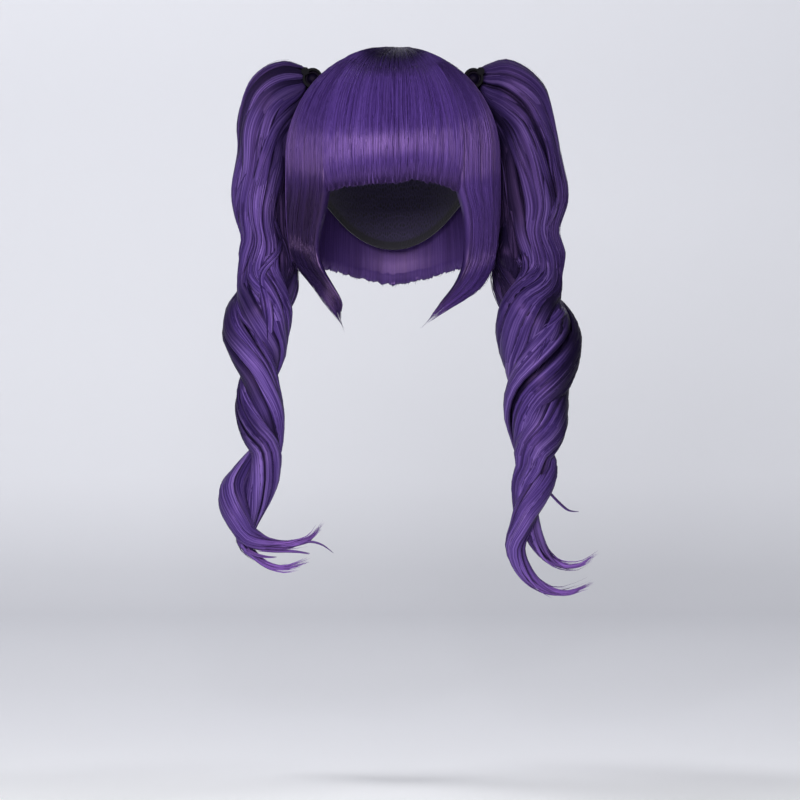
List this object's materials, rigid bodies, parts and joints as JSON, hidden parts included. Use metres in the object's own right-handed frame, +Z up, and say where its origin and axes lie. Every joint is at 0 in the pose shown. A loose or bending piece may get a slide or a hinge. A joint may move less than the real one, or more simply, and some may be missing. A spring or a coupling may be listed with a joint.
{
  "type": "wig",
  "caption": "Straight bob wig with a blunt fringe and framing side locks on a stretch cap, and a long twisted tail with curled ends clipped on high at each side.",
  "frame": {"origin": "inside of the cap at the crown, where the wearer's head bears", "axes": "+Z up, -Y out of the face, +X on the right of someone who looks at the face"},
  "size_m": [0.3305, 0.2206, 0.4917],
  "materials": {
    "hair": "straight synthetic hair fibre, silky",
    "tail_hair": "waved synthetic hair fibre, silky",
    "net": "stretch net with sewn hair wefts",
    "clip": "moulded, glossy black"
  },
  "bodies": {
    "root": {"cap": "net", "crown_top": "hair", "fringe": "hair", "side_lock_left": "hair", "side_lock_right": "hair", "back_hair": "hair", "tail_left": "tail_hair", "tail_right": "tail_hair", "claw_clip_left": "clip", "claw_clip_right": "clip"}
  },
  "joints": []
}
